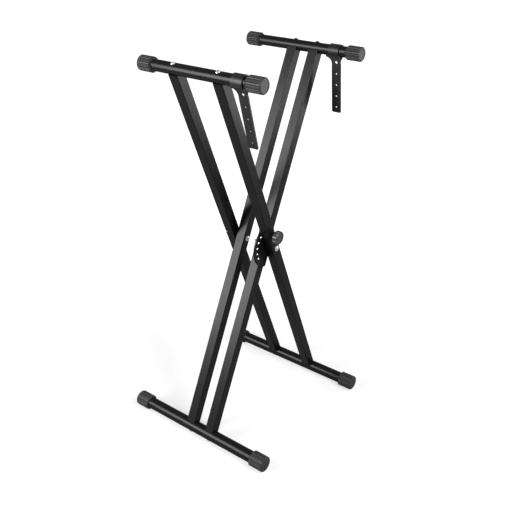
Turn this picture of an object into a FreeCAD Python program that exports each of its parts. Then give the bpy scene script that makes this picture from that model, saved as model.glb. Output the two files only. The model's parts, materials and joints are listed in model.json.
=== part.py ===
import FreeCAD, Part
import math
import os

# Folding keyboard stand, millimetres and degrees.
# Two frames cross like scissors at a pivot. Frame A has its foot on the left and its arm on the
# right, frame B the other way round. Z is up, X runs across from foot to foot, Y along the tubes,
# and the lock knob is on the front, -Y.

# ---------------------------------------------------------------- driving dimensions
LOWER_LEG = 503.5          # pivot to foot tube axis, along a leg
UPPER_LEG = 481.5          # pivot to arm tube axis, along a leg
LEG_LEAN = 24.0            # lean of every leg from upright, as the stand is set

LEG_SIDE = 25.0
LEG_WALL = 1.2
LEG_CORNER = 2.0
INNER_LEG_Y = 30.25        # middle of frame A's legs, either side of the pivot's middle
LEG_GAP = 3.5              # free space between an inner and an outer leg

FOOT_TUBE_R = 15.0
FOOT_TUBE_WALL = 1.5
FOOT_TUBE_LENGTH = 410.0
FOOT_A_SHIFT = 5.5         # how far each tube sits off the middle of its legs
FOOT_B_SHIFT = 0.5
ARM_TUBE_R = 12.5
ARM_TUBE_WALL = 1.2
ARM_TUBE_LENGTH = 313.0
ARM_A_SHIFT = 6.2
ARM_B_SHIFT = -7.6

FOOT_CAP_R = 19.5
FOOT_CAP_LENGTH = 40.5
FOOT_CAP_TAPER = 2.5       # length of the cone behind the open edge
FOOT_CAP_RIBS = 16
ARM_CAP_R = 16.6
ARM_CAP_LENGTH = 38.5
ARM_CAP_TAPER = 4.0
ARM_CAP_RIBS = 24
CAP_END_WALL = 4.0         # rubber beyond the tube's end
CAP_LIP_WALL = 1.6         # rubber round the tube at the cap's open edge
CAP_EDGE = 2.2             # chamfer round the closed end
CAP_DISH_RIM = 5.0         # flat ring round the dished end
CAP_DISH_DEPTH = 0.6
CAP_GROOVE_DEPTH = 0.8
CAP_GROOVE_SHARE = 0.45    # share of each rib's pitch that the groove takes
CAP_FIT = 0.05             # radial clearance of a cap on its tube

SEAT_FIT = 0.05            # clearance of a leg's saddle round a tube
ARM_SADDLE = 8.0           # tube axis to the leg's flat end
FOOT_SADDLE = 10.0
BLOCK_LENGTH = 12.0        # threaded block in a leg's end
BLOCK_SETBACK = 1.0        # gap between the tube and the block
BLOCK_FIT = 0.05

SCREW_R = 3.0
SCREW_HEAD_R = 5.0
SCREW_HEAD_HEIGHT = 2.6
SCREW_KEY = 4.0            # across the flats of its socket
SCREW_HOLE_FIT = 0.2       # radial clearance in the tubes
THREAD_FIT = 0.05          # radial clearance that stands for a thread
SCREW_PAST_BLOCK = 1.0

HEAD_RIM = 0.35            # share of a domed head's height that is its straight rim
HEAD_SHOULDER = 0.85       # share of its radius and of its height where the dome turns
HEAD_SHOULDER_HEIGHT = 0.75
HEAD_TOP = 0.55            # share of its radius that is flat on top

BOLT_R = 4.0
BOLT_HEAD_R = 7.0
BOLT_HEAD_HEIGHT = 4.4
BOLT_KEY = 5.0
BOLT_PAST_NUT = 1.5
PIVOT_FIT = 0.05           # radial running clearance of the bolts in the legs
WASHER_R = 8.0
WASHER_THICK = 1.6
NUT_FLATS = 13.0
NUT_HEIGHT = 6.5
NUT_COLLAR_R = 5.9
NUT_COLLAR_HEIGHT = 1.5
SPACER_R = 9.0
SIDE_PLAY = 0.1            # axial play beside pieces that turn

PLATE_R = 54.5
PLATE_THICK = 3.0
PLATE_PROUD = 1.5          # how far its straight edge stands past the leg
PLATE_TOP = 39.0           # pivot to its flat top edge
PLATE_CORNER = 4.0
HOLE_CIRCLE_R = 43.5       # index holes and lock pin, from the pivot
HOLE_STEP = 19.1           # degrees between index holes
OPEN_STEPS = 5             # holes past the one in use
CLOSED_CLEARANCE = 0.5     # between the foot caps when folded
TACK_LENGTH = 12.0
TACK_SIZE = 2.8
TACK_PLACES = (-36.0, 0.0, 28.0)

PIN_R = 3.0
PIN_HOLE_FIT = 0.25        # radial clearance of the pin in an index hole
PIN_GUIDE_FIT = 0.05
PIN_TIP_CHAMFER = 0.8
PIN_DRAWN_GAP = 0.3        # pin tip to plate when the knob is pulled
PIN_PAST_PLATE = 1.5       # reach behind the plate when locked
PIN_COLLAR_R = 4.9
PIN_COLLAR_LENGTH = 3.0
FERRULE_R = 7.0
FERRULE_CAVITY_R = 5.3
FERRULE_FLANGE_R = 10.0
FERRULE_FLANGE_THICK = 2.0
FERRULE_END_WALL = 3.0
GUIDE_LENGTH = 3.0
PRESS_FIT = 0.02           # radial room in the solids of a pressed or screwed joint
SPRING_R = 4.6             # outside of the coil
SPRING_WIRE = 0.9          # side of its square wire
SPRING_TURNS = 4.5

KNOB_R = 16.2
KNOB_HEIGHT = 12.8
KNOB_HUB_R = 9.0
KNOB_HUB_HEIGHT = 2.2
KNOB_EDGE = 1.6
KNOB_FLUTES = 16
KNOB_FLUTE_DEPTH = 1.3
KNOB_FLUTE_SHARE = 0.4
KNOB_DISH_R = 12.2
KNOB_DISH_DEPTH = 0.9
KNOB_CLEARANCE = 0.2       # knob to ferrule when locked
KNOB_CROWN = 3.0           # solid end over the pin

STRAP_A_GAP = 17.4         # front arm cap to each strap's collar
STRAP_B_GAP = 6.4
STRAP_A_SWING = 7.9        # lean of the hanging tail towards +X
STRAP_B_SWING = 17.4
STRAP_WALL = 2.6           # rubber round the arm
STRAP_FIT = 0.1
STRAP_THICK = 3.2
STRAP_WIDTH = 24.0
STRAP_LENGTH = 150.0       # arm axis to the tail's end
STRAP_FRONT = 12.6         # collar's reach from the tail's middle, towards the front
STRAP_REAR = 15.0
NECK_FRONT = 16.0          # reach of the flared neck under the arm
NECK_REAR = 28.0
NECK_FRONT_LENGTH = 15.0   # how far down the tail each flare runs
NECK_REAR_LENGTH = 19.0
NECK_LIP = 1.5             # depth of the neck's tips below the collar
NECK_BOW = 0.27            # shares of the flare's reach and length at the middle of its arc
NECK_BOW_DROP = 0.25
STRAP_CORNER = 2.5
STRAP_FIRST_HOLE = 27.5
STRAP_HOLE_PITCH = 27.3
STRAP_HOLES = 5
STRAP_HOOK_HOLE_R = 3.6    # the first hole is the larger one
STRAP_HOLE_R = 2.4

# ---------------------------------------------------------------- what follows from them
OUTER_LEG_Y = INNER_LEG_Y + LEG_SIDE + LEG_GAP
FOOT_AXIS_Z = FOOT_CAP_R
PIVOT_Z = FOOT_AXIS_Z + LOWER_LEG * math.cos(math.radians(LEG_LEAN))
FOLD_ANGLE = 2.0 * LEG_LEAN
CLOSED_ANGLE = 2.0 * math.degrees(math.asin((FOOT_CAP_R + CLOSED_CLEARANCE / 2.0) / LOWER_LEG))
PIN_TRAVEL = PIN_DRAWN_GAP + PLATE_THICK + PIN_PAST_PLATE

INNER_FRONT = -INNER_LEG_Y - LEG_SIDE / 2.0        # front face of the front leg of frame A
OUTER_BACK = -OUTER_LEG_Y + LEG_SIDE / 2.0         # back face of the front leg of frame B
OUTER_FRONT = -OUTER_LEG_Y - LEG_SIDE / 2.0
PLATE_FRONT = INNER_FRONT - PLATE_THICK

FRONT_END = min(FOOT_A_SHIFT, FOOT_B_SHIFT) - FOOT_TUBE_LENGTH / 2.0 - CAP_END_WALL
REAR_END = max(FOOT_A_SHIFT, FOOT_B_SHIFT) + FOOT_TUBE_LENGTH / 2.0 + CAP_END_WALL
ORIGIN_Y = (FRONT_END + REAR_END) / 2.0            # the row's origin, midway between the feet's ends

V = FreeCAD.Vector
ACROSS = V(1, 0, 0)
ALONG = V(0, 1, 0)
UP = V(0, 0, 1)
FRAME_A = 1.0              # leans to +X going up
FRAME_B = -1.0

os.makedirs("parts", exist_ok=True)


# ---------------------------------------------------------------- small helpers
def save(node, *solids):
    """Write one node, moved so that the row's origin lies between the feet's ends."""
    shape = solids[0] if len(solids) == 1 else Part.makeCompound(list(solids))
    shape = shape.copy()
    shape.translate(V(0, -ORIGIN_Y, 0))
    shape.exportStep("parts/" + node + ".step")


def lean(shape, side):
    """Tilt a piece built upright about the pivot to its frame's lean, and lift it to the pivot."""
    tilted = shape.copy()
    tilted.rotate(V(0, 0, 0), ALONG, side * LEG_LEAN)
    tilted.translate(V(0, 0, PIVOT_Z))
    return tilted


def axis_place(side, distance):
    """Where a tube's axis lies, at a distance from the pivot along its frame's legs."""
    angle = math.radians(side * LEG_LEAN)
    return V(distance * math.sin(angle), 0, PIVOT_Z + distance * math.cos(angle))


def rod(radius, start, end, x=0.0, z=0.0):
    """Cylinder along Y from start to end."""
    return Part.makeCylinder(radius, end - start, V(x, start, z), ALONG)


def post(radius, low, high, x=0.0, y=0.0):
    """Cylinder along Z from low to high."""
    return Part.makeCylinder(radius, high - low, V(x, y, low), UP)


def block(x_size, y_size, low, high, y=0.0):
    """Upright box centred on x = 0 and the given y."""
    return Part.makeBox(x_size, y_size, high - low, V(-x_size / 2.0, y - y_size / 2.0, low))


def round_long_edges(box, radius):
    """Round the four upright edges of a box."""
    upright = []
    for edge in box.Edges:
        start, end = edge.Vertexes[0].Point, edge.Vertexes[-1].Point
        if abs(start.x - end.x) < 1e-6 and abs(start.y - end.y) < 1e-6:
            upright.append(edge)
    return box.makeFillet(radius, upright)


def turned(points):
    """Turn an outline of (radius, height) points about the Z axis."""
    outline = Part.makePolygon([V(r, 0, h) for r, h in points] + [V(points[0][0], 0, points[0][1])])
    return Part.Face(outline).revolve(V(0, 0, 0), UP, 360)


def ribbed_outline(radius, depth, ribs, groove_share, height):
    """Closed outline of flat-topped ribs and V grooves. radius is to a rib's flat; one rib faces +x."""
    pitch = 360.0 / ribs
    half_rib = pitch * (1.0 - groove_share) / 2.0
    corner_r = radius / math.cos(math.radians(half_rib))
    valley_r = radius - depth
    points = []
    for index in range(ribs):
        middle = index * pitch
        for angle, reach in ((-half_rib, corner_r), (half_rib, corner_r), (pitch / 2.0, valley_r)):
            turn = math.radians(middle + angle)
            points.append(V(reach * math.cos(turn), reach * math.sin(turn), height))
    return Part.makePolygon(points + [points[0]])


def ribbed_body(sections, depth, ribs, groove_share):
    """Ribbed body along Z through (radius, height) sections; the grooves narrow with the radius."""
    widest = max(radius for radius, height in sections)
    outlines = []
    for radius, height in sections:
        outlines.append(ribbed_outline(radius, depth * radius / widest, ribs, groove_share, height))
    return Part.makeLoft(outlines, True, True)


def hexagon(flats, low, high):
    """Hexagonal bar along Z."""
    corner = flats / 2.0 / math.cos(math.radians(30))
    points = []
    for index in range(7):
        angle = math.radians(60 * index)
        points.append(V(corner * math.cos(angle), corner * math.sin(angle), low))
    return Part.Face(Part.makePolygon(points)).extrude(V(0, 0, high - low))


def button_screw(shank_r, length, head_r, head_height, key):
    """Button-head socket screw along Z: its head's flat is at 0, the shank below, the dome above."""
    screw = turned([
        (0, -length),
        (shank_r, -length),
        (shank_r, 0),
        (head_r, 0),
        (head_r, head_height * HEAD_RIM),
        (head_r * HEAD_SHOULDER, head_height * HEAD_SHOULDER_HEIGHT),
        (head_r * HEAD_TOP, head_height),
        (0, head_height),
    ])
    return screw.cut(hexagon(key, head_height * HEAD_RIM, head_height + 1.0))


def turn_to_front(shape, y):
    """Turn a piece built along Z so that its top faces the front, with its zero at y."""
    turned_shape = shape.copy()
    turned_shape.rotate(V(0, 0, 0), ACROSS, 90)
    turned_shape.translate(V(0, y, 0))
    return turned_shape


def turn_to_rear(shape, y):
    """Turn a piece built along Z so that its top faces the rear, with its zero at y."""
    turned_shape = shape.copy()
    turned_shape.rotate(V(0, 0, 0), ACROSS, -90)
    turned_shape.translate(V(0, y, 0))
    return turned_shape


# ---------------------------------------------------------------- tubes
def cross_tube(radius, wall, length, distance, shift, leg_y):
    """Round tube along Y at a distance from the pivot, with a screw hole through it at each leg."""
    start = shift - length / 2.0
    end = shift + length / 2.0
    tube = rod(radius, start, end, z=distance).cut(rod(radius - wall, start - 1, end + 1, z=distance))
    for y in (-leg_y, leg_y):
        tube = tube.cut(post(SCREW_R + SCREW_HOLE_FIT, distance - radius - 1, distance + radius + 1, y=y))
    return tube


def leg(y):
    """Square tube from foot to arm with a shallow saddle at each end and the pivot hole."""
    low = -LOWER_LEG + FOOT_SADDLE
    high = UPPER_LEG - ARM_SADDLE
    outer = round_long_edges(block(LEG_SIDE, LEG_SIDE, low, high, y), LEG_CORNER)
    bore_side = LEG_SIDE - 2.0 * LEG_WALL
    bore = round_long_edges(block(bore_side, bore_side, low - 1, high + 1, y), LEG_CORNER - LEG_WALL)
    tube = outer.cut(bore)
    reach = LEG_SIDE
    tube = tube.cut(rod(FOOT_TUBE_R + SEAT_FIT, y - reach, y + reach, z=-LOWER_LEG))
    tube = tube.cut(rod(ARM_TUBE_R + SEAT_FIT, y - reach, y + reach, z=UPPER_LEG))
    return tube.cut(rod(BOLT_R + PIVOT_FIT, y - reach, y + reach))


def end_block(distance, tube_r, y):
    """Threaded block that fills the leg's end just inside the tube that it is screwed to."""
    toward_pivot = -1.0 if distance > 0 else 1.0
    near = distance + toward_pivot * (tube_r + BLOCK_SETBACK)
    far = near + toward_pivot * BLOCK_LENGTH
    side = LEG_SIDE - 2.0 * LEG_WALL - 2.0 * BLOCK_FIT
    low = min(near, far)
    high = max(near, far)
    body = round_long_edges(block(side, side, low, high, y), LEG_CORNER - LEG_WALL)
    return body.cut(post(SCREW_R + THREAD_FIT, low - 1, high + 1, y=y))


def tube_screw(distance, tube_r, y):
    """Screw through a tube into the block in the leg's end, its head on the tube's far side."""
    length = 2.0 * tube_r + BLOCK_SETBACK + BLOCK_LENGTH + SCREW_PAST_BLOCK
    screw = button_screw(SCREW_R, length, SCREW_HEAD_R, SCREW_HEAD_HEIGHT, SCREW_KEY)
    if distance < 0:
        screw.rotate(V(0, 0, 0), ACROSS, 180)
        screw.translate(V(0, y, distance - tube_r))
    else:
        screw.translate(V(0, y, distance + tube_r))
    return screw


# ---------------------------------------------------------------- end caps
def end_cap(cap_r, length, taper, ribs, tube_r):
    """Rubber cap along Z: open at 0, closed at its length, ribbed, with a cone and a chamfer."""
    sections = [
        (tube_r + CAP_LIP_WALL, 0),
        (cap_r, taper),
        (cap_r, length - CAP_EDGE),
        (cap_r - CAP_EDGE, length),
    ]
    cap = ribbed_body(sections, CAP_GROOVE_DEPTH, ribs, CAP_GROOVE_SHARE)
    cap = cap.cut(post(tube_r + CAP_FIT, -1, length - CAP_END_WALL))
    return cap.cut(post(cap_r - CAP_DISH_RIM, length - CAP_DISH_DEPTH, length + 1))


def capped(cap, length, tube_length, shift, place, toward):
    """End cap put on a tube's front end, toward = -1, or rear end, 1, with a rib straight down."""
    open_edge = shift + toward * (tube_length / 2.0 + CAP_END_WALL - length)
    placed = turn_to_front(cap, open_edge) if toward < 0 else turn_to_rear(cap, open_edge)
    placed.rotate(V(0, 0, 0), ALONG, 90)
    placed.translate(place)
    return placed


# ---------------------------------------------------------------- pivot
def pivot_bolt(head_y, far_face):
    """Bolt along Y with its head on a leg's front face and its end past the nut behind far_face."""
    length = far_face - head_y + WASHER_THICK + NUT_HEIGHT + NUT_COLLAR_HEIGHT + BOLT_PAST_NUT
    return turn_to_front(button_screw(BOLT_R, length, BOLT_HEAD_R, BOLT_HEAD_HEIGHT, BOLT_KEY), head_y)


def pivot_nut(face_y):
    """Lock nut behind its washer: a hexagon with a round collar."""
    top = NUT_HEIGHT + NUT_COLLAR_HEIGHT
    nut = hexagon(NUT_FLATS, 0, NUT_HEIGHT).fuse(post(NUT_COLLAR_R, 0, top))
    nut = nut.cut(post(BOLT_R + THREAD_FIT, -1, top + 1))
    return turn_to_rear(nut.removeSplitter(), face_y + WASHER_THICK)


def ring(outer_r, inner_r, start, end):
    """Flat ring along Y."""
    return rod(outer_r, start, end).cut(rod(inner_r, start - 1, end + 1))


# ---------------------------------------------------------------- index plate
def on_hole_circle(angle):
    """Place of an index hole in the upright frame A, as x and z."""
    turn = math.radians(angle)
    return -HOLE_CIRCLE_R * math.sin(turn), HOLE_CIRCLE_R * math.cos(turn)


def index_plate():
    """D-shaped plate on the front of frame A's front leg, tack welded along both sides of it."""
    edge_x = LEG_SIDE / 2.0 + PLATE_PROUD
    disc = rod(PLATE_R, PLATE_FRONT, INNER_FRONT)
    lower_left = V(-PLATE_R, PLATE_FRONT, -PLATE_R)
    window = Part.makeBox(PLATE_R + edge_x, PLATE_THICK, PLATE_R + PLATE_TOP, lower_left)
    plate = disc.common(window)
    corners = []
    for edge in plate.Edges:
        start, end = edge.Vertexes[0].Point, edge.Vertexes[-1].Point
        if abs(start.x - edge_x) < 1e-6 and abs(end.x - edge_x) < 1e-6 and abs(start.z - end.z) < 1e-6:
            corners.append(edge)
    plate = plate.makeFillet(PLATE_CORNER, corners)
    plate = plate.cut(rod(BOLT_R + PIVOT_FIT, PLATE_FRONT - 1, INNER_FRONT + 1))
    for step in range(OPEN_STEPS + 1):
        x, z = on_hole_circle(FOLD_ANGLE + step * HOLE_STEP)
        plate = plate.cut(rod(PIN_R + PIN_HOLE_FIT, PLATE_FRONT - 1, INNER_FRONT + 1, x, z))
    for place in TACK_PLACES:
        low = place - TACK_LENGTH / 2.0
        for face_x, reach in ((LEG_SIDE / 2.0, PLATE_PROUD), (-LEG_SIDE / 2.0, -TACK_SIZE)):
            corner = [
                V(face_x, INNER_FRONT, low),
                V(face_x + reach, INNER_FRONT, low),
                V(face_x, INNER_FRONT + TACK_SIZE, low),
            ]
            tack = Part.Face(Part.makePolygon(corner + [corner[0]])).extrude(V(0, 0, TACK_LENGTH))
            plate = plate.fuse(tack)
    return plate.removeSplitter()


# ---------------------------------------------------------------- lock
FERRULE_FACE = OUTER_FRONT - FERRULE_FLANGE_THICK
CAVITY_FRONT = FERRULE_FACE + FERRULE_END_WALL
GUIDE_FRONT = OUTER_BACK - GUIDE_LENGTH
PIN_TIP = PLATE_FRONT - PIN_DRAWN_GAP
COLLAR_BACK = GUIDE_FRONT - SIDE_PLAY - PIN_TRAVEL
COLLAR_FRONT = COLLAR_BACK - PIN_COLLAR_LENGTH
KNOB_BACK = FERRULE_FACE - PIN_TRAVEL - KNOB_CLEARANCE
KNOB_FACE = KNOB_BACK - KNOB_HUB_HEIGHT - KNOB_HEIGHT
PIN_FRONT = KNOB_FACE + KNOB_DISH_DEPTH + KNOB_CROWN


def at_lock(shape):
    """Move a lock piece from the pivot's line up the leg to the hole circle."""
    moved = shape.copy()
    moved.translate(V(0, 0, HOLE_CIRCLE_R))
    return moved


def lock_ferrule():
    """Flanged sleeve through the leg, with a cavity for the spring and a front guide hole."""
    sleeve = rod(FERRULE_R, OUTER_FRONT, OUTER_BACK)
    sleeve = sleeve.fuse(rod(FERRULE_FLANGE_R, FERRULE_FACE, OUTER_FRONT))
    sleeve = sleeve.cut(rod(FERRULE_CAVITY_R, CAVITY_FRONT, OUTER_BACK + 1))
    return sleeve.cut(rod(PIN_R + PIN_GUIDE_FIT, FERRULE_FACE - 1, CAVITY_FRONT + 1)).removeSplitter()


def lock_pin():
    """Stepped pin: guided shank, a collar for the spring, and a chamfered tip."""
    tip_start = PIN_TIP - PIN_TIP_CHAMFER
    shank = rod(PIN_R, PIN_FRONT, tip_start)
    tip = Part.makeCone(PIN_R, PIN_R - PIN_TIP_CHAMFER, PIN_TIP_CHAMFER, V(0, tip_start, 0), ALONG)
    return shank.fuse(tip).fuse(rod(PIN_COLLAR_R, COLLAR_FRONT, COLLAR_BACK)).removeSplitter()


def lock_spring():
    """Coil spring between the ferrule's front wall and the pin's collar."""
    half = SPRING_WIRE / 2.0
    start = CAVITY_FRONT + SIDE_PLAY + half
    length = COLLAR_FRONT - SIDE_PLAY - half - start
    inner = SPRING_R - SPRING_WIRE
    helix = Part.makeHelix(length / SPRING_TURNS, length, SPRING_R - half)
    section = [V(inner, 0, -half), V(SPRING_R, 0, -half), V(SPRING_R, 0, half), V(inner, 0, half)]
    coil = Part.Wire(helix).makePipeShell([Part.makePolygon(section + [section[0]])], True, True)
    coil.rotate(V(0, 0, 0), ACROSS, -90)
    coil.translate(V(0, start, 0))
    return coil


def lock_knob():
    """Fluted knob with a hub behind it and a dished face."""
    top = KNOB_HUB_HEIGHT + KNOB_HEIGHT
    sections = [
        (KNOB_R - KNOB_EDGE, KNOB_HUB_HEIGHT),
        (KNOB_R, KNOB_HUB_HEIGHT + KNOB_EDGE),
        (KNOB_R, top - KNOB_EDGE),
        (KNOB_R - KNOB_EDGE, top),
    ]
    body = ribbed_body(sections, KNOB_FLUTE_DEPTH, KNOB_FLUTES, KNOB_FLUTE_SHARE)
    body = body.fuse(post(KNOB_HUB_R, 0, KNOB_HUB_HEIGHT))
    body = body.cut(post(KNOB_DISH_R, top - KNOB_DISH_DEPTH, top + 1))
    body = body.cut(post(PIN_R + PRESS_FIT, -1, KNOB_BACK - PIN_FRONT))
    return turn_to_front(body, KNOB_BACK)


# ---------------------------------------------------------------- straps
def flare(side, reach, length, tip_z):
    """Arc of the neck from its tip under the arm down to the tail's edge. side is -1 front, 1 rear."""
    half = STRAP_WIDTH / 2.0
    tip = V(0, side * reach, tip_z)
    bow = V(0, side * (half + NECK_BOW * (reach - half)), tip_z - NECK_BOW_DROP * length)
    end = V(0, side * half, tip_z - length)
    return tip, end, Part.Arc(tip, bow, end).toShape()


def tail_corner(side):
    """Rounded bottom corner of the tail. side is -1 front, 1 rear."""
    half = STRAP_WIDTH / 2.0
    cut = STRAP_CORNER * (1.0 - math.sqrt(0.5))
    start = V(0, side * half, STRAP_CORNER - STRAP_LENGTH)
    middle = V(0, side * (half - cut), cut - STRAP_LENGTH)
    end = V(0, side * (half - STRAP_CORNER), -STRAP_LENGTH)
    return start, end, Part.Arc(start, middle, end).toShape()


def strap(side, cap_edge, gap, swing):
    """Rubber strap: a collar on the arm, a flared neck and a flat tail with five holes."""
    collar_r = ARM_TUBE_R + STRAP_FIT + STRAP_WALL
    inside = -ARM_TUBE_R
    tip_z = -collar_r - NECK_LIP
    rear_tip, rear_end, rear_arc = flare(1, NECK_REAR, NECK_REAR_LENGTH, tip_z)
    front_tip, front_end, front_arc = flare(-1, NECK_FRONT, NECK_FRONT_LENGTH, tip_z)
    rear_foot, rear_toe, rear_corner = tail_corner(1)
    front_foot, front_toe, front_corner = tail_corner(-1)
    outline = [
        Part.makeLine(V(0, -NECK_FRONT, inside), V(0, NECK_REAR, inside)),
        Part.makeLine(V(0, NECK_REAR, inside), rear_tip),
        rear_arc,
        Part.makeLine(rear_end, rear_foot),
        rear_corner,
        Part.makeLine(rear_toe, front_toe),
        front_corner,
        Part.makeLine(front_foot, front_end),
        front_arc,
        Part.makeLine(front_tip, V(0, -NECK_FRONT, inside)),
    ]
    blade = Part.Face(Part.Wire(Part.__sortEdges__(outline))).extrude(V(STRAP_THICK, 0, 0))
    blade.translate(V(-STRAP_THICK / 2.0, 0, 0))
    shape = blade.fuse(rod(collar_r, -STRAP_FRONT, STRAP_REAR))
    shape = shape.cut(rod(ARM_TUBE_R + STRAP_FIT, -NECK_FRONT - 1, NECK_REAR + 1))
    for index in range(STRAP_HOLES):
        radius = STRAP_HOOK_HOLE_R if index == 0 else STRAP_HOLE_R
        z = -STRAP_FIRST_HOLE - index * STRAP_HOLE_PITCH
        shape = shape.cut(Part.makeCylinder(radius, STRAP_THICK + 2, V(-STRAP_THICK / 2.0 - 1, 0, z), ACROSS))
    shape = shape.removeSplitter()
    shape.rotate(V(0, 0, 0), ALONG, -swing)
    shape.translate(axis_place(side, UPPER_LEG) + V(0, cap_edge + gap + STRAP_FRONT, 0))
    return shape


# ---------------------------------------------------------------- the two frames
foot_cap = end_cap(FOOT_CAP_R, FOOT_CAP_LENGTH, FOOT_CAP_TAPER, FOOT_CAP_RIBS, FOOT_TUBE_R)
arm_cap = end_cap(ARM_CAP_R, ARM_CAP_LENGTH, ARM_CAP_TAPER, ARM_CAP_RIBS, ARM_TUBE_R)

FRAMES = (
    ("a", FRAME_A, INNER_LEG_Y, FOOT_A_SHIFT, ARM_A_SHIFT, STRAP_A_GAP, STRAP_A_SWING),
    ("b", FRAME_B, OUTER_LEG_Y, FOOT_B_SHIFT, ARM_B_SHIFT, STRAP_B_GAP, STRAP_B_SWING),
)
for letter, side, leg_y, foot_shift, arm_shift, strap_gap, strap_swing in FRAMES:
    foot = cross_tube(FOOT_TUBE_R, FOOT_TUBE_WALL, FOOT_TUBE_LENGTH, -LOWER_LEG, foot_shift, leg_y)
    arm = cross_tube(ARM_TUBE_R, ARM_TUBE_WALL, ARM_TUBE_LENGTH, UPPER_LEG, arm_shift, leg_y)
    save("foot_tube_" + letter, lean(foot, side))
    save("arm_tube_" + letter, lean(arm, side))

    front_leg = leg(-leg_y)
    if letter == "a":
        closed_x, closed_z = on_hole_circle(CLOSED_ANGLE)
        pin_hole = rod(PIN_R + PIN_HOLE_FIT, INNER_FRONT - 1, INNER_FRONT + LEG_WALL + 1, closed_x, closed_z)
        front_leg = front_leg.cut(pin_hole)
    else:
        ferrule_hole = rod(FERRULE_R + PRESS_FIT, OUTER_FRONT - 1, OUTER_BACK + 1, z=HOLE_CIRCLE_R)
        front_leg = front_leg.cut(ferrule_hole)
    save("leg_" + letter + "_front", lean(front_leg, side))
    save("leg_" + letter + "_rear", lean(leg(leg_y), side))

    blocks = []
    for place, distance, tube_r in (("foot", -LOWER_LEG, FOOT_TUBE_R), ("arm", UPPER_LEG, ARM_TUBE_R)):
        screws = []
        for y in (-leg_y, leg_y):
            blocks.append(lean(end_block(distance, tube_r, y), side))
            screws.append(lean(tube_screw(distance, tube_r, y), side))
        save(place + "_screws_" + letter, *screws)
    save("leg_end_blocks_" + letter, *blocks)

    foot_place = axis_place(side, -LOWER_LEG)
    arm_place = axis_place(side, UPPER_LEG)
    for end, toward in (("front", -1), ("rear", 1)):
        save("foot_cap_" + letter + "_" + end,
             capped(foot_cap, FOOT_CAP_LENGTH, FOOT_TUBE_LENGTH, foot_shift, foot_place, toward))
        save("arm_cap_" + letter + "_" + end,
             capped(arm_cap, ARM_CAP_LENGTH, ARM_TUBE_LENGTH, arm_shift, arm_place, toward))

    cap_edge = arm_shift - ARM_TUBE_LENGTH / 2.0 - CAP_END_WALL + ARM_CAP_LENGTH
    save("strap_" + letter, strap(side, cap_edge, strap_gap, strap_swing))

# ---------------------------------------------------------------- pivot hardware
INNER_BACK = INNER_FRONT + LEG_SIDE
REAR_INNER_FRONT = INNER_LEG_Y - LEG_SIDE / 2.0
REAR_OUTER_BACK = OUTER_LEG_Y + LEG_SIDE / 2.0
pivots = (("front", OUTER_FRONT, INNER_BACK), ("rear", REAR_INNER_FRONT, REAR_OUTER_BACK))
washers = []
for place, head_y, far_face in pivots:
    save("pivot_bolt_" + place, lean(pivot_bolt(head_y, far_face), FRAME_B))
    save("pivot_nut_" + place, lean(pivot_nut(far_face), FRAME_B))
    washers.append(lean(ring(WASHER_R, BOLT_R + PIVOT_FIT, far_face, far_face + WASHER_THICK), FRAME_B))
save("pivot_washers", *washers)
spacer_start = INNER_LEG_Y + LEG_SIDE / 2.0
spacer = ring(SPACER_R, BOLT_R + PIVOT_FIT, spacer_start, spacer_start + LEG_GAP - SIDE_PLAY)
save("pivot_spacer", lean(spacer, FRAME_A))
save("index_plate", lean(index_plate(), FRAME_A))

# ---------------------------------------------------------------- lock
guide = ring(FERRULE_CAVITY_R - PRESS_FIT, PIN_R + PIN_GUIDE_FIT, GUIDE_FRONT, OUTER_BACK)
save("lock_ferrule", lean(at_lock(lock_ferrule()), FRAME_B))
save("lock_guide", lean(at_lock(guide), FRAME_B))
save("lock_pin", lean(at_lock(lock_pin()), FRAME_B))
save("lock_spring", lean(at_lock(lock_spring()), FRAME_B))
save("lock_knob", lean(at_lock(lock_knob()), FRAME_B))
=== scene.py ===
import json
import math

import bpy
from mathutils import Matrix, Vector


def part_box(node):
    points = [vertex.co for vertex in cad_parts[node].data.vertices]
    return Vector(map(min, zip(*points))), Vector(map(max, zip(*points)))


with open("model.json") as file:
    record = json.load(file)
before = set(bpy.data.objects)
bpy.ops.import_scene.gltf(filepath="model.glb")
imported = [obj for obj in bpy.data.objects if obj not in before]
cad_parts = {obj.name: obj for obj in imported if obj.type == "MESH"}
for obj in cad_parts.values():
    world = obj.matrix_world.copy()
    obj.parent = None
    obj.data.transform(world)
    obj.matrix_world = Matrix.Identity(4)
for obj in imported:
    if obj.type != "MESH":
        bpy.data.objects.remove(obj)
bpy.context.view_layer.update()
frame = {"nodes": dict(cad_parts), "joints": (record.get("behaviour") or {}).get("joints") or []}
nodes = frame["nodes"]


# ---- foot tubes
# Two round steel tubes lie across the floor in rubber caps and carry the legs. Welded steel tube,
# sprayed with black powder and baked to a satin coat.
def linear(colour):
    """sRGB hex colour as the linear values that a shader takes."""
    shares = [int(colour[place:place + 2], 16) / 255.0 for place in (1, 3, 5)]
    return [s / 12.92 if s <= 0.04045 else ((s + 0.055) / 1.055) ** 2.4 for s in shares] + [1.0]


def add_node(material, kind, inputs=(), **settings):
    """Adds a shader node. Each input is a socket's name or number, and its value or what feeds it."""
    node = material.node_tree.nodes.new(kind)
    for name, value in settings.items():
        setattr(node, name, value)
    for socket, value in inputs:
        if isinstance(value, bpy.types.NodeSocket):
            material.node_tree.links.new(value, node.inputs[socket])
        else:
            node.inputs[socket].default_value = value
    return node


def start_material(name, **sockets):
    """New material with these sockets of its Principled shader set.

    Returns the material, the shader and the piece's Object coordinates.
    """
    material = bpy.data.materials.new(name)
    material.use_nodes = True
    shader = material.node_tree.nodes["Principled BSDF"]
    for socket, value in sockets.items():
        shader.inputs[socket.replace("_", " ")].default_value = value
    place = add_node(material, "ShaderNodeTexCoord").outputs["Object"]
    return material, shader, place


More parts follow.
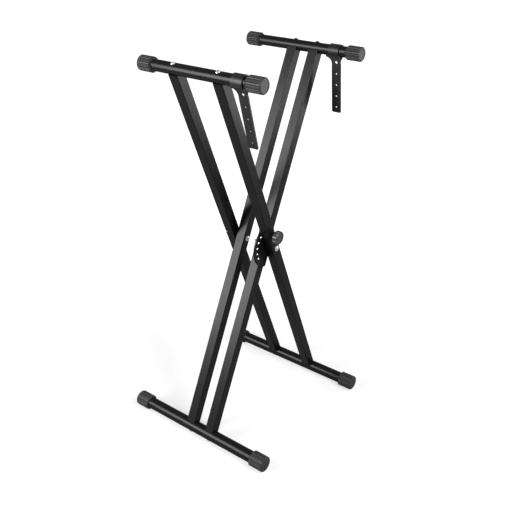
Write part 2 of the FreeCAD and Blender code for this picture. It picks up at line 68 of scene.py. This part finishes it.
def mottle(material, shader, place, size_mm, colours, roughness):
    """Soft patches of a size in millimetres, between two colours and between two roughnesses."""
    patches = add_node(material, "ShaderNodeTexNoise",
                       [("Vector", place), ("Scale", 1000.0 / size_mm), ("Detail", 2.0)])
    shade = add_node(material, "ShaderNodeMix",
                     [("Factor", patches.outputs["Fac"]), ("A", linear(colours[0])),
                      ("B", linear(colours[1]))], data_type="RGBA")
    gloss = add_node(material, "ShaderNodeMapRange",
                     [("Value", patches.outputs["Fac"]), ("To Min", roughness[0]),
                      ("To Max", roughness[1])])
    material.node_tree.links.new(shade.outputs["Result"], shader.inputs["Base Color"])
    material.node_tree.links.new(gloss.outputs["Result"], shader.inputs["Roughness"])


def grain(material, shader, place, size_mm, height_mm):
    """Raised grain of a size and a height in millimetres."""
    bumps = add_node(material, "ShaderNodeTexNoise",
                     [("Vector", place), ("Scale", 1000.0 / size_mm), ("Detail", 3.0)])
    relief = add_node(material, "ShaderNodeBump",
                      [("Height", bumps.outputs["Fac"]), ("Strength", 1.0),
                       ("Distance", height_mm / 1000.0)])
    material.node_tree.links.new(relief.outputs["Normal"], shader.inputs["Normal"])


def finish(material, *names):
    """Gives CAD nodes their material."""
    for name in names:
        nodes[name].data.materials.clear()
        nodes[name].data.materials.append(material)


FLECKS = 0.34                    # share of the coat that is glossy
WAX_ROUGHNESS = 0.8
RIPPLE_MM = 3.0                  # really about 1.5 mm across, drawn coarser to show
RIPPLE_HEIGHT_MM = 0.004
CLOUDS_MM = 60.0                 # where the sprayed powder is a little thicker or thinner


def powder_coat(name):
    """Satin powder coat: black, and dull where matting wax lies between its glossy flecks.

    The melted powder leaves a faint ripple. Returns the material, its shader and its coordinates.
    """
    material, gloss_shader, place = start_material(name)
    mottle(material, gloss_shader, place, CLOUDS_MM, ("#0b0b0c", "#121213"), (0.26, 0.32))
    grain(material, gloss_shader, place, RIPPLE_MM, RIPPLE_HEIGHT_MM)
    wax = add_node(material, "ShaderNodeBsdfPrincipled",
                   [("Base Color", linear("#0f0f10")), ("Roughness", WAX_ROUGHNESS),
                    ("Specular IOR Level", 0.0)])
    satin = add_node(material, "ShaderNodeMixShader",
                     [(0, FLECKS), (1, wax.outputs["BSDF"]), (2, gloss_shader.outputs["BSDF"])])
    material.node_tree.links.new(satin.outputs["Shader"],
                                 material.node_tree.nodes["Material Output"].inputs["Surface"])
    return material, satin, place


coat, _, _ = powder_coat("satin black powder coat")
finish(coat, "foot_tube_a", "foot_tube_b")

# ---- foot caps
# Four thick ribbed caps of black rubber, moulded and pushed over the ends of the foot tubes. They
# are what stands on the floor.
# Moulded rubber: dark grey rather than black, dull, with the fine grain of a spark-eroded mould.
foot_rubber, foot_shader, foot_place = start_material("moulded matt rubber", Specular_IOR_Level=0.3)
mottle(foot_rubber, foot_shader, foot_place, 14.0, ("#1e1e1f", "#2a2a2b"), (0.46, 0.58))
grain(foot_rubber, foot_shader, foot_place, size_mm=1.2, height_mm=0.05)
finish(foot_rubber, "foot_cap_a_front", "foot_cap_a_rear", "foot_cap_b_front", "foot_cap_b_rear")

# ---- legs
# Four square steel tubes, coated like the feet. The pair of frame A runs inside the pair of
# frame B, and each end is cut to a saddle that sits on its round tube.
finish(coat, "leg_a_front", "leg_a_rear", "leg_b_front", "leg_b_rear")

# ---- leg end blocks and foot screws
# A threaded steel block closes each end of a leg. The screws through the round tubes pull on it.
# Bright zinc plate: a cool silver, glossy, with soft clouds where the plating took.
zinc, zinc_shader, zinc_place = start_material("bright zinc plate", Metallic=1.0)
mottle(zinc, zinc_shader, zinc_place, 4.0, ("#d2d4d8", "#efefed"), (0.24, 0.4))
grain(zinc, zinc_shader, zinc_place, size_mm=0.8, height_mm=0.01)
finish(zinc, "leg_end_blocks_a", "leg_end_blocks_b", "foot_screws_a", "foot_screws_b")

# ---- index plate
# A flat steel plate tacked to the inner front leg, with an arc of holes for the lock pin. It is
# cut and pierced before it is coated, and the pin keeps the walls of the holes rubbed to steel.
PIERCED_WIDTH = 0.009            # band round the hole circle that holds the pierced walls
FACE_ON = 0.5                    # a normal with less than this along Y is on a wall, not a face
BARE_ROUGHNESS = 0.38
pivot = Vector(next(joint for joint in frame["joints"] if joint["name"] == "fold")["pos_m"])
pin_low, pin_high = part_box("lock_pin")
hole_circle = math.hypot((pin_low[0] + pin_high[0]) / 2 - pivot.x,
                         (pin_low[2] + pin_high[2]) / 2 - pivot.z)
plate_coat, plate_satin, plate_place = powder_coat("powder coat rubbed through in the holes")
bare_steel = add_node(plate_coat, "ShaderNodeBsdfPrincipled",
                      [("Base Color", linear("#b4b4b2")), ("Metallic", 1.0),
                       ("Roughness", BARE_ROUGHNESS)])
flat_place = add_node(plate_coat, "ShaderNodeVectorMath",
                      [(0, plate_place), (1, (1.0, 0.0, 1.0))], operation="MULTIPLY")
reach = add_node(plate_coat, "ShaderNodeVectorMath",
                 [(0, flat_place.outputs["Vector"]), (1, (pivot.x, 0.0, pivot.z))],
                 operation="DISTANCE")
on_circle = add_node(plate_coat, "ShaderNodeMath",
                     [(0, reach.outputs["Value"]), (1, hole_circle), (2, PIERCED_WIDTH / 2)],
                     operation="COMPARE")
facing = add_node(plate_coat, "ShaderNodeTexCoord").outputs["Normal"]
across = add_node(plate_coat, "ShaderNodeSeparateXYZ", [("Vector", facing)])
on_wall = add_node(plate_coat, "ShaderNodeMath",
                   [(0, across.outputs["Y"]), (1, 0.0), (2, FACE_ON)], operation="COMPARE")
rubbed = add_node(plate_coat, "ShaderNodeMath",
                  [(0, on_circle.outputs["Value"]), (1, on_wall.outputs["Value"])],
                  operation="MULTIPLY")
plate_finish = add_node(plate_coat, "ShaderNodeMixShader",
                        [(0, rubbed.outputs["Value"]), (1, plate_satin.outputs["Shader"]),
                         (2, bare_steel.outputs["BSDF"])])
plate_coat.node_tree.links.new(plate_finish.outputs["Shader"],
                               plate_coat.node_tree.nodes["Material Output"].inputs["Surface"])
finish(plate_coat, "index_plate")

# ---- pivot
# Two domed bolts with hexagon sockets join the frames, each with a nut and washers, all zinc
# plated. A black nylon ring keeps the rear legs apart as the plate does the front ones.
finish(zinc, "pivot_bolt_front", "pivot_bolt_rear", "pivot_nut_front", "pivot_nut_rear",
       "pivot_washers")
# Turned nylon: black, a little waxy, faintly clouded.
nylon, nylon_shader, nylon_place = start_material("turned black nylon")
mottle(nylon, nylon_shader, nylon_place, 8.0, ("#1b1b1c", "#232324"), (0.4, 0.5))
finish(nylon, "pivot_spacer")

# ---- lock
# A sprung pin through the outer front leg drops into a hole of the index plate. It slides in a
# steel ferrule closed by a nylon guide, and a fluted knob pulls it out.
finish(nylon, "lock_guide")
finish(zinc, "lock_pin")
# Black oxide: a thin dark skin on turned steel, with a metal's sheen.
oxide, oxide_shader, oxide_place = start_material("black oxide on turned steel", Metallic=0.7)
mottle(oxide, oxide_shader, oxide_place, 5.0, ("#1c1c1e", "#29292b"), (0.3, 0.42))
grain(oxide, oxide_shader, oxide_place, size_mm=0.8, height_mm=0.01)
finish(oxide, "lock_ferrule")
# Hard drawn wire: grey steel with the dull bands that the die leaves.
wire, wire_shader, wire_place = start_material("hard drawn spring wire", Metallic=1.0)
mottle(wire, wire_shader, wire_place, 1.5, ("#7c7c7d", "#9a9a9a"), (0.25, 0.4))
finish(wire, "lock_spring")
# Moulded ABS with a fine spark-eroded texture: black with a dull, even gloss.
abs_black, abs_shader, abs_place = start_material("moulded textured ABS")
mottle(abs_black, abs_shader, abs_place, 6.0, ("#1b1b1c", "#242425"), (0.34, 0.42))
grain(abs_black, abs_shader, abs_place, size_mm=0.9, height_mm=0.04)
finish(abs_black, "lock_knob")

# ---- arms
# Two thinner round tubes, coated like the rest, on which the keyboard lies. Button screws through
# their tops hold them on the legs: bright zinc ones in the left arm, ones drawn dark with the oxide
# finish in the right.
finish(coat, "arm_tube_a", "arm_tube_b")
finish(zinc, "arm_screws_b")
finish(oxide, "arm_screws_a")

# ---- arm caps
# Smaller ribbed caps of the same rubber close the ends of the arms and stand proud of them, so
# that a keyboard can't slide off.
# Matt rubber of the arm caps: as the feet, a little darker and smoother all over.
arm_rubber, arm_shader, arm_place = start_material("darker matt rubber", Specular_IOR_Level=0.3)
mottle(arm_rubber, arm_shader, arm_place, 14.0, ("#18181a", "#232324"), (0.4, 0.5))
grain(arm_rubber, arm_shader, arm_place, size_mm=1.2, height_mm=0.05)
finish(arm_rubber, "arm_cap_a_front", "arm_cap_a_rear", "arm_cap_b_front", "arm_cap_b_rear")

# ---- straps
# Two moulded straps turn on the arms and hook over the keyboard. Each is a collar, a flared neck
# and a flat tail with five holes, in one piece.
# Smooth moulded rubber: the darkest of the rubbers, with a soft sheen from a polished mould.
strap_rubber, strap_shader, strap_place = start_material("smooth moulded rubber",
                                                         Specular_IOR_Level=0.3)
mottle(strap_rubber, strap_shader, strap_place, 20.0, ("#0e0e0f", "#151516"), (0.36, 0.46))
grain(strap_rubber, strap_shader, strap_place, size_mm=2.5, height_mm=0.03)
finish(strap_rubber, "strap_a", "strap_b")


# ---- studio floor
# White seamless paper. It shines by itself to the camera, less under the stand so that the soft
# shadow stays on it, and reflections get a small share of that shine.
def mirror_rays(material, paths):
    """1 for what a metal or a glass shows, else 0."""
    return add_node(material, "ShaderNodeMath",
                    [(0, paths.outputs["Is Glossy Ray"]), (1, paths.outputs["Is Transmission Ray"])],
                    operation="MAXIMUM").outputs["Value"]


FLOOR_HALF = 30.0
FLOOR_DROP = 0.0005              # below the soles, so that the two don't share a plane
GLOW_NEAR, GLOW_FAR = 0.57, 1.0  # shine under the stand and away from it
GLOW_FROM, GLOW_TO = 0.42, 0.9   # metres from the middle between which it grows
GLOW_MIRRORED = 0.05             # share of it that reflections get
sheet_of_paper = bpy.data.meshes.new("studio floor")
sheet_of_paper.from_pydata([(x * FLOOR_HALF, y * FLOOR_HALF, -FLOOR_DROP)
                            for x, y in ((-1, -1), (1, -1), (1, 1), (-1, 1))], [], [(0, 1, 2, 3)])
floor = bpy.data.objects.new("studio floor", sheet_of_paper)
bpy.context.scene.collection.objects.link(floor)
paper, paper_shader, paper_place = start_material("seamless white paper", Roughness=1.0,
                                                  Specular_IOR_Level=0.0)
paper_shader.inputs["Base Color"].default_value = linear("#a8a8a8")
paper_shader.inputs["Emission Color"].default_value = linear("#ffffff")
away = add_node(paper, "ShaderNodeVectorMath", [(0, paper_place)], operation="LENGTH")
glow = add_node(paper, "ShaderNodeMapRange",
                [("Value", away.outputs["Value"]), ("From Min", GLOW_FROM), ("From Max", GLOW_TO),
                 ("To Min", GLOW_NEAR), ("To Max", GLOW_FAR)])
floor_paths = add_node(paper, "ShaderNodeLightPath")
mirrored = add_node(paper, "ShaderNodeMath",
                    [(0, mirror_rays(paper, floor_paths)), (1, GLOW_MIRRORED)],
                    operation="MULTIPLY")
shown = add_node(paper, "ShaderNodeMath",
                 [(0, floor_paths.outputs["Is Camera Ray"]), (1, mirrored.outputs["Value"])],
                 operation="MAXIMUM")
strength = add_node(paper, "ShaderNodeMath",
                    [(0, glow.outputs["Result"]), (1, shown.outputs["Value"])],
                    operation="MULTIPLY")
paper.node_tree.links.new(strength.outputs["Value"], paper_shader.inputs["Emission Strength"])
sheet_of_paper.materials.append(paper)

# ---- studio room
# White to the camera. To reflections it is white at the floor's edge and dim overhead, and it
# gives the stand a weak even light.
ROOM_LIGHT = 0.35
CEILING = 0.35
WALLS_FROM, WALLS_TO = 0.04, 0.22  # rise of the view between white walls and dim ceiling
room = bpy.data.worlds.new("studio room")
room.use_nodes = True
backdrop = room.node_tree.nodes["Background"]
room_paths = add_node(room, "ShaderNodeLightPath")
room_place = add_node(room, "ShaderNodeTexCoord").outputs["Generated"]
way = add_node(room, "ShaderNodeSeparateXYZ", [("Vector", room_place)])
walls = add_node(room, "ShaderNodeMapRange",
                 [("Value", way.outputs["Z"]), ("From Min", WALLS_FROM), ("From Max", WALLS_TO),
                  ("To Min", 1.0), ("To Max", CEILING)])
around = add_node(room, "ShaderNodeMix",
                  [("Factor", mirror_rays(room, room_paths)), ("A", ROOM_LIGHT),
                   ("B", walls.outputs["Result"])])
seen = add_node(room, "ShaderNodeMix",
                [("Factor", room_paths.outputs["Is Camera Ray"]), ("A", around.outputs["Result"]),
                 ("B", 1.0)])
backdrop.inputs["Color"].default_value = linear("#ffffff")
room.node_tree.links.new(seen.outputs["Result"], backdrop.inputs["Strength"])
bpy.context.scene.world = room


# ---- studio lamps
# The tall soft box draws the bright streaks along the tubes. The low one and the one over the
# front light the fronts of the legs, and the small one the ends of the left arm's caps.
def soft_box(name, watts, size, place, target):
    """Upright soft lamp of a width and height at a place, turned to a target."""
    lamp = bpy.data.objects.new(name, bpy.data.lights.new(name, "AREA"))
    lamp.data.energy = watts
    lamp.data.shape = "RECTANGLE"
    lamp.data.size, lamp.data.size_y = size
    lamp.location = place
    lamp.rotation_euler = (Vector(target) - Vector(place)).to_track_quat("-Z", "Y").to_euler()
    lamp.visible_camera = False
    bpy.context.scene.collection.objects.link(lamp)


soft_box("tall soft box at the back left", watts=68.0, size=(1.0, 1.4),
         place=(-1.85, 1.08, 1.2), target=(0.0, 0.0, 0.8))
soft_box("low soft box at the front right", watts=10.0, size=(0.75, 0.6),
         place=(1.35, -1.25, 0.55), target=(-0.1, -0.1, 0.8))
soft_box("soft box over the front", watts=14.0, size=(1.0, 1.0),
         place=(0.6, -1.8, 2.2), target=(0.0, 0.0, 0.5))
soft_box("small soft box before the left arm", watts=15.0, size=(0.3, 0.3),
         place=(-0.3, -0.95, 1.15), target=(-0.15, -0.2, 0.92))

# ---- camera
# Left of the front and above the arms, looking down at the pivot. Its place, turn and lens were
# fitted to the stand's proportions.
YAW = math.radians(53.667)       # from +Y towards +X
PITCH = math.radians(26.933)     # below the horizon
ROLL = math.radians(1.197)
LENS = 49.117
SENSOR = 36.0
CAMERA_PLACE = (-1.245892, -0.930259, 1.225034)
forward = Vector((math.cos(PITCH) * math.sin(YAW), math.cos(PITCH) * math.cos(YAW),
                  -math.sin(PITCH)))
level = Vector((math.cos(YAW), -math.sin(YAW), 0.0))
upward = level.cross(forward)
right = math.cos(ROLL) * level + math.sin(ROLL) * upward
up = math.cos(ROLL) * upward - math.sin(ROLL) * level
turn = Matrix((right, up, -forward)).transposed().to_4x4()
camera = bpy.data.objects.new("camera", bpy.data.cameras.new("camera"))
camera.data.lens = LENS
camera.data.sensor_width = SENSOR
camera.matrix_world = Matrix.Translation(CAMERA_PLACE) @ turn
bpy.context.scene.collection.objects.link(camera)
bpy.context.scene.camera = camera
bpy.context.scene.view_settings.view_transform = "Standard"
